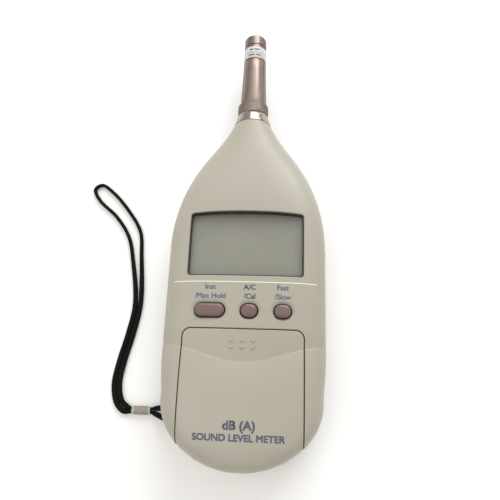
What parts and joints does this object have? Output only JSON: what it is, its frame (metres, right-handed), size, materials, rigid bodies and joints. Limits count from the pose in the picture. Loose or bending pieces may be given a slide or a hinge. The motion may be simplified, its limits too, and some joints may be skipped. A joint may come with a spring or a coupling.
{
  "type": "sound level meter",
  "caption": "Handheld sound level meter with a teardrop case, display window, keys, sliding battery cover, metal microphone stem and wrist strap; it measures the loudness of sound.",
  "frame": {"origin": "middle of the meter's back, level with the surface it lies on, the strap left out", "axes": "+Y along the meter towards the microphone tip, +Z out of the front with the display, +X to the right as the display is read"},
  "size_m": [0.1374, 0.2448, 0.0352],
  "materials": {
    "case_plastic": "fine textured ABS, warm grey-beige",
    "key_plastic": "satin mauve-pink keys",
    "black_plastic": "matte black",
    "circuit_board": "solder-masked glass epoxy",
    "tin_plate": "bright plated",
    "brass": "machined",
    "window": "clear acrylic window",
    "lcd": "grey-green reflective display",
    "red_rubber": "matte",
    "cell_jacket": "plain printed foil jacket",
    "bright_steel": "polished",
    "ring_metal": "fine knurled, matte",
    "brushed_steel": "drawn along its length",
    "label": "white label stock",
    "cord": "black braided cord",
    "sleeve": "pale green sleeve"
  },
  "bodies": {
    "case": {"front_case": "case_plastic", "rear_case": "case_plastic", "battery_tray": "case_plastic", "lcd_frame": "black_plastic", "processor_chip": "black_plastic", "switch_hold": "black_plastic", "switch_weighting": "black_plastic", "switch_response": "black_plastic", "power_switch": "black_plastic", "output_jack": "black_plastic", "preamp_plug": "black_plastic", "signal_lead": "black_plastic", "battery_lead_black": "black_plastic", "main_board": "circuit_board", "preamp_board": "circuit_board", "rating_plate": "tin_plate", "case_screw_1": "tin_plate", "case_screw_2": "tin_plate", "case_screw_3": "tin_plate", "case_screw_4": "tin_plate", "board_screw_1": "tin_plate", "board_screw_2": "tin_plate", "board_screw_3": "tin_plate", "shield_can": "tin_plate", "contact_low_left": "tin_plate", "contact_low_right": "tin_plate", "contact_high_left": "tin_plate", "contact_high_middle": "tin_plate", "contact_high_right": "tin_plate", "strap_bar": "tin_plate", "tripod_insert": "brass", "neck_nut": "brass", "mic_backplate": "brass", "display_window": "window", "lcd_panel": "lcd", "lcd_connector": "red_rubber", "battery_lead_red": "red_rubber", "battery_1": "cell_jacket", "battery_2": "cell_jacket", "battery_3": "cell_jacket", "battery_4": "cell_jacket", "neck_socket": "bright_steel", "mic_diaphragm": "bright_steel", "strap_ferrule": "bright_steel", "preamp_tube": "brushed_steel", "mic_cartridge": "brushed_steel", "mic_grid": "brushed_steel", "mic_label": "label", "mic_insulator": "label", "strap_cord": "cord", "strap_sleeve": "sleeve"},
    "battery_cover": {"battery_cover": "case_plastic"},
    "key_hold": {"key_hold": "key_plastic", "plunger_hold": "black_plastic"},
    "key_weighting": {"key_weighting": "key_plastic", "plunger_weighting": "black_plastic"},
    "key_response": {"key_response": "key_plastic", "plunger_response": "black_plastic"},
    "power_knob": {"power_knob": "black_plastic"},
    "lock_ring": {"lock_ring": "ring_metal"}
  },
  "joints": [
    {"name": "battery_cover_slide", "type": "slide", "parent": "case", "child": "battery_cover", "axis": [0, -1, 0], "range_m": [0, 0.07]},
    {"name": "key_hold_press", "type": "slide", "parent": "case", "child": "key_hold", "axis": [0, 0, -1], "range_m": [0, 0.0008], "stiffness_N_per_m": 1000, "springref_m": -0.0005},
    {"name": "key_weighting_press", "type": "slide", "parent": "case", "child": "key_weighting", "axis": [0, 0, -1], "range_m": [0, 0.0008], "stiffness_N_per_m": 1000, "springref_m": -0.0005},
    {"name": "key_response_press", "type": "slide", "parent": "case", "child": "key_response", "axis": [0, 0, -1], "range_m": [0, 0.0008], "stiffness_N_per_m": 1000, "springref_m": -0.0005},
    {"name": "power_knob_slide", "type": "slide", "parent": "case", "child": "power_knob", "axis": [0, 1, 0], "range_m": [0, 0.004]},
    {"name": "lock_ring_turn", "type": "hinge", "parent": "case", "child": "lock_ring", "pos_m": [0, 0.0716, 0.018], "axis": [0, 1, 0], "continuous": true}
  ]
}
